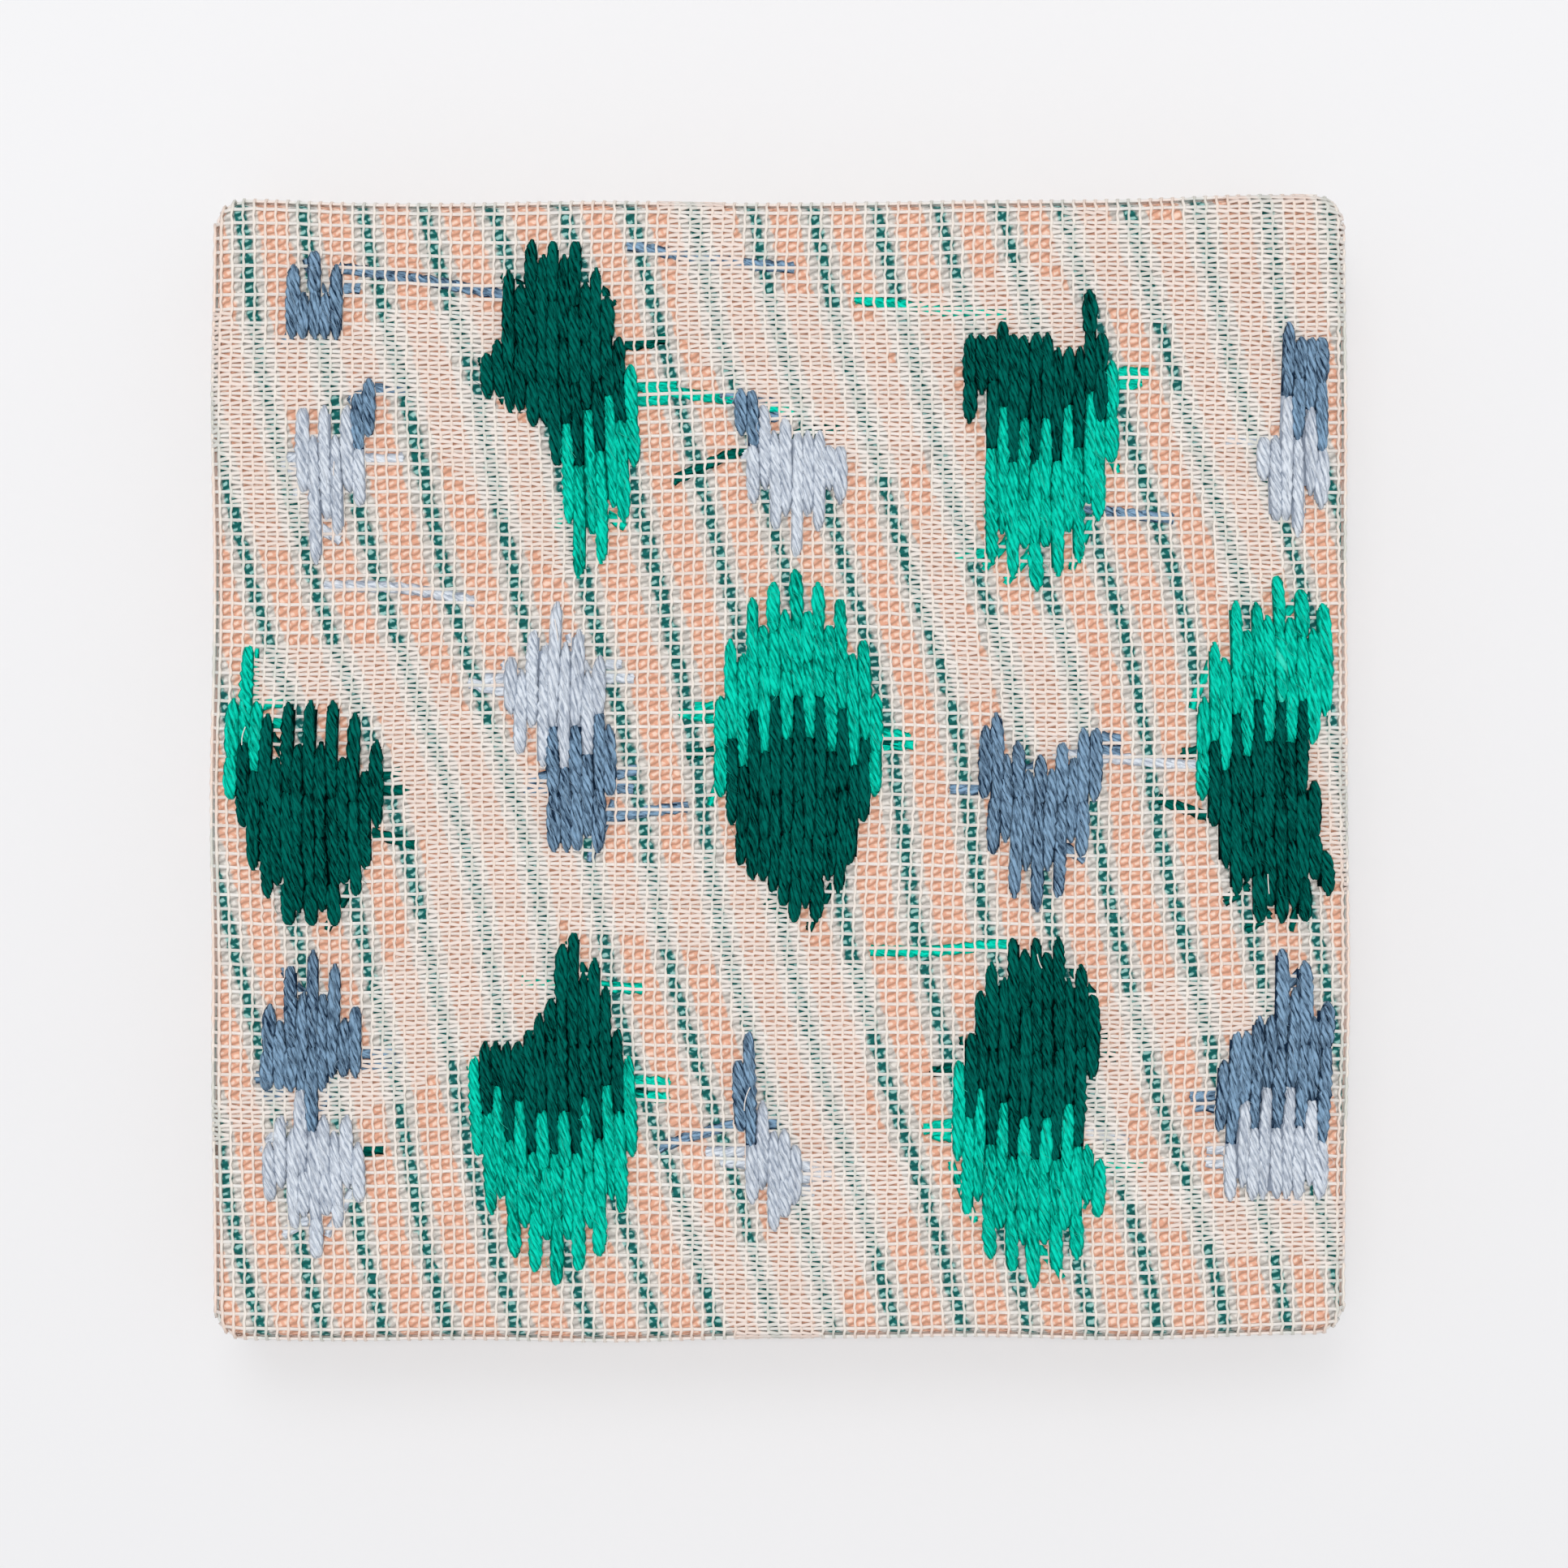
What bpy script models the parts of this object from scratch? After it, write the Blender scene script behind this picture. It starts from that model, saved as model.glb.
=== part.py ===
"""Small square panel of embroidered net lace, stretched with a striped ground cloth over a wooden frame.

The panel lies on its back: +Z is the face's normal, +Y the picture's top, +X its right.
The origin is at the centre of the back. Units are metres.
"""
import math

import bmesh
import bpy
from mathutils import Matrix, Vector

MM = 0.001

# Driving sizes
SIDE = 150.0 * MM
CLOTH = 1.0 * MM
GAP = 0.3 * MM
BAR_DEPTH = 15.6 * MM
BAR_WIDTH = 18.0 * MM
BAR_LIP = 5.0 * MM
BAR_FALL = 2.0 * MM
BAR_EASE = 1.0 * MM
BAR_CORNER = 2.6 * MM
MITRE_GAP = 0.3 * MM
PLAN_RADIUS = 4.2 * MM
FACE_ROUND = 2.6 * MM
BACK_ROUND = 1.2 * MM
LACE_RETURN = 19.0 * MM
GROUND_RETURN = 15.0 * MM
SIDE_STEPS = 14
LEVEL_TOLERANCE = 0.02 * MM

# Heights of the layers, from the back up
GROUND_BACK = CLOTH + GAP
BAR_BACK = GROUND_BACK + CLOTH + GAP
BAR_FRONT = BAR_BACK + BAR_DEPTH
GROUND_FRONT = BAR_FRONT + GAP + CLOTH
LACE_FRONT = GROUND_FRONT + GAP + CLOTH
YARN_BACK = LACE_FRONT + GAP

# Net mesh: a stitch is one mesh column wide
MESH_COLUMNS = 104
MESH_ROWS = 82
COLUMN_PITCH = SIDE / MESH_COLUMNS
ROW_PITCH = SIDE / MESH_ROWS
EDGE_COLUMNS = 2
EDGE_ROWS = 2
SHORTEST_RUN = 3
LEAST_OVERLAP = 2
LEAST_COLUMNS = 2
YARN_RIDGE = 1.5 * MM
YARN_VALLEY = 1.1 * MM
YARN_END = 0.7 * MM
YARN_INSET = 0.2 * MM
SIDE_TAPER = 0.7
VALLEY_TAPER = 0.2

# Filled figure of the lace, in mm from the centre: x and y of both ends, half widths of both ends
FIGURE_SPREAD = 1.2
LACE_FIGURE = [
    (-72, 54, -36, 58, 4.2, 2.6),
    (-71, 52, -70, 36, 4.6, 4.0),
    (-50, 55, -39, 41, 3.4, 4.2),
    (-39, 41, -31, 25, 4.2, 2.2),
    (-10, 75, -5, 62, 4.2, 4.4),
    (-5, 62, 8, 52, 4.4, 7.5),
    (8, 52, 12, 46, 7.5, 6.0),
    (17, 58, 38, 58, 2.8, 3.4),
    (22, 58, 20, 28, 3.0, 3.0),
    (20, 28, 26, 8, 3.0, 2.2),
    (44, 68, 75, 68, 4.5, 8.0),
    (61, 60, 57, 44, 6.5, 4.4),
    (57, 44, 60, 28, 4.4, 3.2),
    (-64, 14, -48, 14, 3.0, 4.0),
    (-46, 10, -39, -8, 4.5, 7.0),
    (-39, -8, -42, -26, 7.0, 8.5),
    (-56, -40, -35, -33, 2.2, 5.5),
    (-31, -18, -8, -18, 3.6, 5.6),
    (-8, -18, 6, -31, 5.6, 5.0),
    (6, -31, 11, -54, 5.0, 5.4),
    (11, -54, -2, -68, 5.4, 6.5),
    (-2, -68, -11, -60, 6.5, 3.0),
    (36, 12, 36, 8, 6.4, 5.0),
    (46, -49, 46, -33, 2.4, 2.6),
    (46, -33, 55, -27, 2.6, 2.8),
    (55, -27, 64, -30, 2.8, 2.0),
    (48, -51, 59, -60, 2.4, 3.4),
    (59, -60, 75, -61, 3.4, 3.6),
    (73, 2, 73, -16, 2.2, 2.2),
    (-75, -50, -63, -43, 2.0, 1.6),
]

# Lozenges of upright stitches: columns from the middle, lowest and highest mesh row
LEAF_LOZENGE = {
    "bright": [(0, 4, 13), (1, 1, 10), (2, 4, 12), (3, 0, 9), (4, 3, 11), (5, -1, 7), (6, 1, 8), (7, -3, 4)],
    "dark": [(0, -12, 4), (1, -11, 1), (2, -12, 4), (3, -9, 0), (4, -10, 3), (5, -8, -1), (6, -5, 1)],
}
BUD_LOZENGE = {
    "slate": [(0, -2, 11), (1, 1, 8), (2, -2, 10), (3, 0, 6), (4, -3, 7), (5, -2, 3)],
    "pale": [(0, -11, -2), (1, -8, 1), (2, -9, -2), (3, -6, 0), (4, -7, -3)],
}

# Half-drop of the lozenges, in stitch columns and mesh rows
LOZENGE_COLUMNS = 5
COLUMN_STEP = 22
PAIR_STEP = 50
HALF_DROP = 25
FIRST_COLUMN = 9
FIRST_ROW = -8

# Outward swell of the wrapped edges: side, place along it, height and spread in mm
SWELL_REACH = 54.0 * MM
EDGE_SWELLS = [
    ("top", -72, 0.6, 12),
    ("top", -24, 0.35, 14),
    ("top", 30, 0.4, 20),
    ("top", 66, 1.25, 18),
    ("bottom", -60, 1.0, 22),
    ("bottom", -22, 1.1, 18),
    ("bottom", 10, 0.5, 16),
    ("bottom", 45, 0.8, 16),
    ("right", 45, 0.35, 16),
    ("right", 10, 0.35, 20),
    ("right", -28, 0.7, 22),
    ("left", 48, 0.4, 14),
    ("left", -5, 0.5, 18),
    ("left", -40, 0.3, 15),
]

COLOURS = {
    "bright": (0.02, 0.46, 0.33),
    "dark": (0.006, 0.075, 0.06),
    "slate": (0.12, 0.20, 0.30),
    "pale": (0.52, 0.57, 0.63),
    "lace": (0.86, 0.80, 0.75),
    "ground": (0.84, 0.46, 0.30),
    "wood": (0.62, 0.45, 0.28),
}


def clear_scene():
    for item in list(bpy.data.objects):
        bpy.data.objects.remove(item, do_unlink=True)


def make_material(name, roughness):
    material = bpy.data.materials.new(name)
    material.use_nodes = True
    shader = material.node_tree.nodes["Principled BSDF"]
    shader.inputs["Base Color"].default_value = (*COLOURS[name], 1.0)
    shader.inputs["Roughness"].default_value = roughness
    shader.inputs["Metallic"].default_value = 0.0
    return material


def add_object(name, mesh, material, collection):
    item = bpy.data.objects.new(name, mesh)
    item.data.materials.append(material)
    collection.objects.link(item)
    return item


def mesh_from(name, shape):
    bmesh.ops.recalc_face_normals(shape, faces=shape.faces)
    mesh = bpy.data.meshes.new(name)
    shape.to_mesh(mesh)
    shape.free()
    return mesh


# Stretcher frame

def cut_away(shape, point, normal):
    """Removes what lies on the normal's side of a plane and closes the cut."""
    everything = shape.verts[:] + shape.edges[:] + shape.faces[:]
    cut = bmesh.ops.bisect_plane(shape, geom=everything, plane_co=point, plane_no=normal, clear_outer=True)
    rim = [part for part in cut["geom_cut"] if isinstance(part, bmesh.types.BMEdge)]
    bmesh.ops.contextual_create(shape, geom=rim)


def bar_mesh(name, turn):
    """One bar along +X at the top of the frame, mitred at both ends, then turned about the centre."""
    outer = SIDE / 2 - 2 * (CLOTH + GAP)
    shape = bmesh.new()
    bmesh.ops.create_cube(shape, size=1.0)
    bmesh.ops.scale(shape, vec=(2 * outer, BAR_WIDTH, BAR_DEPTH), verts=shape.verts)
    middle = Vector((0, outer - BAR_WIDTH / 2, BAR_BACK + BAR_DEPTH / 2))
    bmesh.ops.translate(shape, vec=middle, verts=shape.verts)
    for way in (-1, 1):
        mitre = Vector((way * (outer - MITRE_GAP), outer, 0))
        cut_away(shape, mitre, Vector((way, -1, 0)).normalized())
        corner = Vector((way * (outer - BAR_CORNER), outer, 0))
        cut_away(shape, corner, Vector((way, 1, 0)).normalized())
    lip = Vector((0, outer - BAR_LIP, BAR_FRONT))
    slope = math.atan2(BAR_FALL, BAR_WIDTH - BAR_LIP)
    cut_away(shape, lip, Vector((0, -math.sin(slope), math.cos(slope))))
    eased = Vector((0, outer - BAR_EASE, BAR_FRONT))
    cut_away(shape, eased, Vector((0, 1, 1)).normalized())
    bmesh.ops.rotate(shape, cent=(0, 0, 0), matrix=Matrix.Rotation(turn, 3, "Z"), verts=shape.verts)
    return mesh_from(name, shape)


def make_frame(collection):
    wood = make_material("wood", 0.7)
    turns = {"bar_top": 0, "bar_left": 90, "bar_bottom": 180, "bar_right": 270}
    for name, degrees in turns.items():
        add_object(name, bar_mesh(name, math.radians(degrees)), wood, collection)


# Wrapped cloths

def swell(point):
    """How far the wrapped cloth stands out of the square at a point of its side, and which way."""
    x, y = point.x, point.y
    sides = {
        "top": (y, x, Vector((0, 1, 0))),
        "bottom": (-y, x, Vector((0, -1, 0))),
        "right": (x, y, Vector((1, 0, 0))),
        "left": (-x, y, Vector((-1, 0, 0))),
    }
    shift = Vector((0, 0, 0))
    for side, place, height, spread in EDGE_SWELLS:
        outward, along, way = sides[side]
        reach = max(0.0, min(1.0, 1.0 + (outward - SIDE / 2) / SWELL_REACH))
        bell = math.exp(-((along / MM - place) / spread) ** 2)
        shift += way * (height * MM * bell * reach ** 4)
    return shift


def wrap_mesh(name, side, back, front, turned):
    """Outer skin of a cloth over the frame: face, four sides and the edge turned onto the back."""
    shape = bmesh.new()
    bmesh.ops.create_cube(shape, size=1.0)
    bmesh.ops.scale(shape, vec=(side, side, front - back), verts=shape.verts)
    bmesh.ops.translate(shape, vec=(0, 0, (front + back) / 2), verts=shape.verts)
    upright = [edge for edge in shape.edges if abs(edge.verts[0].co.z - edge.verts[1].co.z) > GAP]
    bmesh.ops.bevel(shape, geom=upright, offset=PLAN_RADIUS, segments=4, profile=0.5, affect="EDGES")
    straight = [edge for edge in shape.edges if edge.calc_length() > side / 2]
    bmesh.ops.subdivide_edges(shape, edges=straight, cuts=SIDE_STEPS - 1, use_grid_fill=False)
    join_side_cuts(shape, front, back)
    for level, size, steps in ((front, FACE_ROUND, 3), (back, BACK_ROUND, 2)):
        rim = [edge for edge in shape.edges if all(abs(v.co.z - level) < LEVEL_TOLERANCE for v in edge.verts)]
        bmesh.ops.bevel(shape, geom=rim, offset=size, segments=steps, profile=0.5, affect="EDGES")
    floor = [face for face in shape.faces if all(abs(v.co.z - back) < LEVEL_TOLERANCE for v in face.verts)]
    bmesh.ops.delete(shape, geom=floor, context="FACES_ONLY")
    rim = [edge for edge in shape.edges if edge.is_boundary]
    grown = bmesh.ops.extrude_edge_only(shape, edges=rim)["geom"]
    inner = [part for part in grown if isinstance(part, bmesh.types.BMVert)]
    shrink = (side / 2 - turned) / (side / 2 - BACK_ROUND)
    bmesh.ops.scale(shape, vec=(shrink, shrink, 1), verts=inner)
    for vert in shape.verts:
        vert.co += swell(vert.co)
    return mesh_from(name, shape)


def join_side_cuts(shape, front, back):
    """Joins each point on the front rim to the one under it on the back rim."""
    above = [vert for vert in shape.verts if abs(vert.co.z - front) < LEVEL_TOLERANCE]
    below = [vert for vert in shape.verts if abs(vert.co.z - back) < LEVEL_TOLERANCE]
    for top in above:
        foot = min(below, key=lambda vert: (vert.co.xy - top.co.xy).length)
        if not any(foot in edge.verts for edge in top.link_edges):
            bmesh.ops.connect_verts(shape, verts=[top, foot])


def make_cloth(name, slot, side, back, front, turned, collection):
    mesh = wrap_mesh(name, side, back, front, turned)
    cloth = add_object(name, mesh, make_material(slot, 0.9), collection)
    solid = cloth.modifiers.new("thickness", "SOLIDIFY")
    solid.thickness = CLOTH
    solid.offset = -1.0
    solid.use_even_offset = True
    return cloth


# Embroidery

def wavy(x, y):
    """Shifts a point of the face, in mm, so that the filled figure gets curved outlines."""
    shift_x = 2.6 * math.sin(y / 8.3 + 0.4) + 1.1 * math.sin(y / 3.7 + x / 19.0)
    shift_y = 2.4 * math.sin(x / 9.1 + 1.7) + 1.2 * math.sin(x / 4.3 - y / 23.0)
    return x + shift_x, y + shift_y


def is_filled(x, y):
    """True where a point of the face, in mm, lies on the lace's filled figure."""
    x, y = wavy(x, y)
    for x0, y0, x1, y1, start, end in LACE_FIGURE:
        length = (x1 - x0) ** 2 + (y1 - y0) ** 2
        along = max(0.0, min(1.0, ((x - x0) * (x1 - x0) + (y - y0) * (y1 - y0)) / length))
        away = math.hypot(x - x0 - along * (x1 - x0), y - y0 - along * (y1 - y0))
        if away < FIGURE_SPREAD * (start + along * (end - start)):
            return True
    return False


def lozenge_cells(chart, column, base, way):
    """Every cell of one lozenge with its colour; way is 1 upright and -1 upside down."""
    for colour, columns in chart.items():
        for offset, low, high in columns:
            for across in sorted({column - offset, column + offset}):
                for step in range(low, high):
                    yield colour, across, base + (step if way > 0 else -1 - step)


def can_stitch(column, row):
    """Stitches stay on the flat of the face and off the lace's filled figure."""
    if not EDGE_COLUMNS <= column < MESH_COLUMNS - EDGE_COLUMNS:
        return False
    if not EDGE_ROWS <= row < MESH_ROWS - EDGE_ROWS:
        return False
    x = (column + 0.5) * COLUMN_PITCH - SIDE / 2
    y = (row + 0.5) * ROW_PITCH - SIDE / 2
    return not is_filled(x / MM, y / MM)


def stitched_cells():
    """Colour of each stitched cell, by stitch column and mesh row."""
    cells = {}
    for number in range(LOZENGE_COLUMNS):
        column = FIRST_COLUMN + number * COLUMN_STEP
        way = 1 if number % 2 == 0 else -1
        first = FIRST_ROW + (number % 2) * HALF_DROP
        for leaf in range(first - PAIR_STEP, MESH_ROWS + PAIR_STEP, PAIR_STEP):
            for chart, base in ((LEAF_LOZENGE, leaf), (BUD_LOZENGE, leaf + HALF_DROP)):
                for colour, across, row in lozenge_cells(chart, column, base, way):
                    if can_stitch(across, row):
                        cells[across, row] = colour
    return cells


def column_runs(cells):
    """Unbroken runs of one colour up each stitch column, as colour, column, low row and high row."""
    runs = []
    for column in range(MESH_COLUMNS):
        start = 0
        for row in range(MESH_ROWS + 1):
            if row == MESH_ROWS or cells.get((column, row)) != cells.get((column, start)):
                colour = cells.get((column, start))
                if colour and row - start >= SHORTEST_RUN:
                    runs.append((colour, column, start, row))
                start = row
    return runs


def patches(runs):
    """Chains of runs that lie side by side and share a colour."""
    chains = []
    for run in runs:
        colour, column, low, high = run
        best = None
        for chain in chains:
            other, last, last_low, last_high = chain[-1]
            shared = min(high, last_high) - max(low, last_low)
            if other == colour and last == column - 1 and shared >= LEAST_OVERLAP:
                best = chain
        if best:
            best.append(run)
        else:
            chains.append([run])
    return chains


def patch_sections(chain):
    """Sections across a patch: x, lowest row, highest row and height, at stitch middles and edges."""
    sections = []
    for number, (_, column, low, high) in enumerate(chain):
        left = column * COLUMN_PITCH - SIDE / 2
        right = left + COLUMN_PITCH
        if number == 0:
            sections.append((left + YARN_INSET, low + SIDE_TAPER, high - SIDE_TAPER, YARN_END))
        else:
            _, _, last_low, last_high = chain[number - 1]
            shared_low = max(low, last_low) + VALLEY_TAPER
            shared_high = min(high, last_high) - VALLEY_TAPER
            sections.append((left, shared_low, shared_high, YARN_VALLEY))
        sections.append((left + COLUMN_PITCH / 2, low, high, YARN_RIDGE))
        if number == len(chain) - 1:
            sections.append((right - YARN_INSET, low + SIDE_TAPER, high - SIDE_TAPER, YARN_END))
    return sections


def patch_mesh(name, chain):
    """Loft through the sections, ridged along the stitches."""
    shape = bmesh.new()
    loops = []
    for x, low_row, high_row, height in patch_sections(chain):
        low = low_row * ROW_PITCH - SIDE / 2 + YARN_INSET
        high = high_row * ROW_PITCH - SIDE / 2 - YARN_INSET
        corners = ((low, 0), (high, 0), (high, height), (low, height))
        loops.append([shape.verts.new((x, y, YARN_BACK + z)) for y, z in corners])
    for before, after in zip(loops, loops[1:]):
        for side in range(4):
            following = (side + 1) % 4
            shape.faces.new((before[side], before[following], after[following], after[side]))
    shape.faces.new(loops[0])
    shape.faces.new(reversed(loops[-1]))
    return mesh_from(name, shape)


def make_embroidery(collection):
    materials = {colour: make_material(colour, 0.85) for colour in ("dark", "bright", "slate", "pale")}
    counts = dict.fromkeys(materials, 0)
    for chain in patches(column_runs(stitched_cells())):
        if len(chain) < LEAST_COLUMNS:
            continue
        colour = chain[0][0]
        counts[colour] += 1
        name = f"{colour}_patch_{counts[colour]}"
        add_object(name, patch_mesh(name, chain), materials[colour], collection)


def main():
    clear_scene()
    collection = bpy.data.collections.new("embroidered_lace_panel")
    bpy.context.scene.collection.children.link(collection)
    make_frame(collection)
    ground_side = SIDE - 2 * (CLOTH + GAP)
    make_cloth("ground_cloth", "ground", ground_side, GROUND_BACK, GROUND_FRONT, GROUND_RETURN, collection)
    make_cloth("lace_panel", "lace", SIDE, 0.0, LACE_FRONT, LACE_RETURN, collection)
    make_embroidery(collection)


main()
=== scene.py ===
"""Looks of the embroidered lace panel: striped ground cloth, thread-by-thread net, yarn and pale floor.

The panel lies on its back, so the face looks up and the camera looks down at it. Units are metres.
"""
import math

import bmesh
import bpy
import numpy as np
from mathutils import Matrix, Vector


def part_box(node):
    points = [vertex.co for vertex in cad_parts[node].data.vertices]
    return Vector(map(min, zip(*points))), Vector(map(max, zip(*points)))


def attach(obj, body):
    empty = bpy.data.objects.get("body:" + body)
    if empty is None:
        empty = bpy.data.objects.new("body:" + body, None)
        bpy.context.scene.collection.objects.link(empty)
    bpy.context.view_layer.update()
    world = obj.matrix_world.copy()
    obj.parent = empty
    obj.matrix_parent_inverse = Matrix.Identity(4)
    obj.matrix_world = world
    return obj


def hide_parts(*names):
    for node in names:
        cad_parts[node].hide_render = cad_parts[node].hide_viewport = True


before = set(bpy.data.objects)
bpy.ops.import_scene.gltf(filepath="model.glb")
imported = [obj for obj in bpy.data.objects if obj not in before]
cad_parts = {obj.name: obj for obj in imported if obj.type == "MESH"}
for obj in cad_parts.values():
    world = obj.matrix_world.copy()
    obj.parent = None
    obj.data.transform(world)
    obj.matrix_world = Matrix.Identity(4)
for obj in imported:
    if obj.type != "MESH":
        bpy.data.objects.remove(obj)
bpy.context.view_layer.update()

MM = 0.001
TURN = 2 * math.pi
SEED = 11

# Heights taken from the frame
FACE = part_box("lace_panel")[1].z
GROUND_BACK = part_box("ground_cloth")[0].z
GROUND_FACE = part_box("ground_cloth")[1].z

# Picture: its width at the panel's face, the point that the camera looks down on, and lens and sensor in mm
FRAME_WIDTH = 206.4 * MM
AIM = (0.64 * MM, -2.03 * MM)
LENS = 100.0
SENSOR = 36.0

# Panel, as in the solids
SIDE = 150.0 * MM
PLAN_RADIUS = 4.2 * MM
FACE_ROUND = 2.6 * MM
BACK_ROUND = 1.2 * MM
GROUND_RETURN = 15.0 * MM
CLOTH = 1.0 * MM
GAP = 0.3 * MM

# Visible sheet of the ground cloth: how far it rises towards the net, and its thickness
GROUND_RAISE = 0.35 * MM
GROUND_SHEET = 0.95 * MM

# Tests of its shape: heights that count as the same, and the least upward share of a normal
SAME_LEVEL = GAP / 9
FACES_UP = 0.7

# Net lattice: meshes of the face, meshes turned over each edge, and meshes that run down each side
MESH_COLUMNS = 104
MESH_ROWS = 82
COLUMN_PITCH = SIDE / MESH_COLUMNS
ROW_PITCH = SIDE / MESH_ROWS
TURNED_ROWS = 20
TURNED_COLUMNS = 25
SIDE_ROWS = 9
SIDE_COLUMNS = 11

# Net threads, four-sided, as radii: upright, lower and upper cross thread, filling thread
THREAD = 0.22 * MM
ROW_THREAD = 0.29 * MM
TOP_THREAD = 0.16 * MM
FILL_THREAD = 0.33 * MM

# Unevenness of the threads: sideways, and as a share of their radius
UPRIGHT_JITTER = 0.028 * MM
ROW_JITTER = 0.03 * MM
RADIUS_JITTER = 0.07

# Upright threads: sway, and their lift and share of the radius at a crossing and between crossings
UPRIGHT_SWAY = 0.085 * MM
CROSSING_LIFT = 0.16 * MM
BETWEEN_LIFT = 0.06 * MM
CROSSING_SHARE = 1.16
BETWEEN_SHARE = 0.92

# Cross threads: swing from mesh to mesh, lift, and height as a share of the width
LOWER_ROW = {"swing": 0.02 * MM, "lift": -0.04 * MM, "flat": 0.55}
UPPER_ROW = {"swing": 0.07 * MM, "lift": 0.07 * MM, "flat": 0.8}

# Filling threads: how far they slant in a mesh, their lift, and the bend's distance from the upright
FILL_SLANT = 0.115 * MM
FILL_LIFT = 0.12 * MM
FILL_INSET = 0.08

# Yarn of a stitch: plies, half width beside another stitch and beside none, height of its axis
PLIES = 4
PLY = 0.45 * MM
PACKED_HALF = 1.02 * MM
FREE_HALF = 1.10 * MM
PLY_DEPTH = 0.34 * MM
TWIST_LENGTH = 6.2 * MM
YARN_HEIGHT = FACE + 0.62 * MM
STITCH_POINTS = 13

# Loose fibres of a stitch: radius, number, and the tones that stand for their own colour
HAIR = 0.03 * MM
HAIRS = 3
HAIR_TONES = (1.82, 1.98)

# Ends of a stitch: how far they dip and are rounded, and their share of the full width and ply
END_DIP = 1.3 * MM
ROUND_END = 0.8 * MM
END_WIDTH = 0.38
END_PLY = 0.66

# Lengths of stitches in mesh rows, and how far an end reaches past its hole
STITCH_ROWS = 6
SHORTEST_STITCH = 3
JOINT_SHIFT = 0.25
MEETING_REACH = 0.3
FREE_REACH = 0.1

# Yarn under the stitches and behind the net; its spread and limit are in mm
UNDERLAY_LIFT = 0.1 * MM
UNDERLAY_HALF = 0.86 * MM
# The underlay's tone paints it dark, as the shade under the stitches
UNDERLAY_PAINTED_SHADE = -0.8
FLOAT_PLIES = 3
FLOAT_PLY = 0.54 * MM
FLOAT_SPREAD = 0.42
FLOAT_LIMIT = 69.0

# Filled figure of the lace, in mm from the centre: x and y of both ends, half widths of both ends
FIGURE_SPREAD = 1.2
LACE_FIGURE = [
    (-72, 54, -36, 58, 4.2, 2.6),
    (-71, 52, -70, 36, 4.6, 4.0),
    (-50, 55, -39, 41, 3.4, 4.2),
    (-39, 41, -31, 25, 4.2, 2.2),
    (-10, 75, -5, 62, 4.2, 4.4),
    (-5, 62, 8, 52, 4.4, 7.5),
    (8, 52, 12, 46, 7.5, 6.0),
    (17, 58, 38, 58, 2.8, 3.4),
    (22, 58, 20, 28, 3.0, 3.0),
    (20, 28, 26, 8, 3.0, 2.2),
    (44, 68, 75, 68, 4.5, 8.0),
    (61, 60, 57, 44, 6.5, 4.4),
    (57, 44, 60, 28, 4.4, 3.2),
    (-64, 14, -48, 14, 3.0, 4.0),
    (-46, 10, -39, -8, 4.5, 7.0),
    (-39, -8, -42, -26, 7.0, 8.5),
    (-56, -40, -35, -33, 2.2, 5.5),
    (-31, -18, -8, -18, 3.6, 5.6),
    (-8, -18, 6, -31, 5.6, 5.0),
    (6, -31, 11, -54, 5.0, 5.4),
    (11, -54, -2, -68, 5.4, 6.5),
    (-2, -68, -11, -60, 6.5, 3.0),
    (36, 12, 36, 8, 6.4, 5.0),
    (46, -49, 46, -33, 2.4, 2.6),
    (46, -33, 55, -27, 2.6, 2.8),
    (55, -27, 64, -30, 2.8, 2.0),
    (48, -51, 59, -60, 2.4, 3.4),
    (59, -60, 75, -61, 3.4, 3.6),
    (73, 2, 73, -16, 2.2, 2.2),
    (-75, -50, -63, -43, 2.0, 1.6),
]

# Lozenges of upright stitches: columns from the middle, lowest and highest mesh row
LEAF_LOZENGE = {
    "bright": [(0, 4, 13), (1, 1, 10), (2, 4, 12), (3, 0, 9),
               (4, 3, 11), (5, -1, 7), (6, 1, 8), (7, -3, 4)],
    "dark": [(0, -12, 4), (1, -11, 1), (2, -12, 4), (3, -9, 0),
             (4, -10, 3), (5, -8, -1), (6, -5, 1)],
}
BUD_LOZENGE = {
    "slate": [(0, -2, 11), (1, 1, 8), (2, -2, 10), (3, 0, 6), (4, -3, 7), (5, -2, 3)],
    "pale": [(0, -11, -2), (1, -8, 1), (2, -9, -2), (3, -6, 0), (4, -7, -3)],
}
LOZENGE_COLUMNS = 5
COLUMN_STEP = 22
PAIR_STEP = 50
HALF_DROP = 25
FIRST_COLUMN = 9
FIRST_ROW = -8
EDGE_COLUMNS = 2
EDGE_ROWS = 2
SHORTEST_RUN = 3
LEAST_OVERLAP = 2
LEAST_COLUMNS = 2

# Stripes of the ground cloth: repeat across the cloth and how far they lean to the right going down
STRIPE_REPEAT = 8.44 * MM
STRIPE_LEAN = 0.25
STRIPE_DRIFT = 12.0 * MM
STRIPE_RAGGED = 1.6 * MM

# Weave strokes of the ground cloth: ridges, the breaks along them, and the ridges' direction
RIDGE_PERIOD = 0.92 * MM
BREAK_PERIOD = 1.25 * MM
RIDGE_ACROSS = 0.92
RIDGE_UP = 0.38

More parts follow.
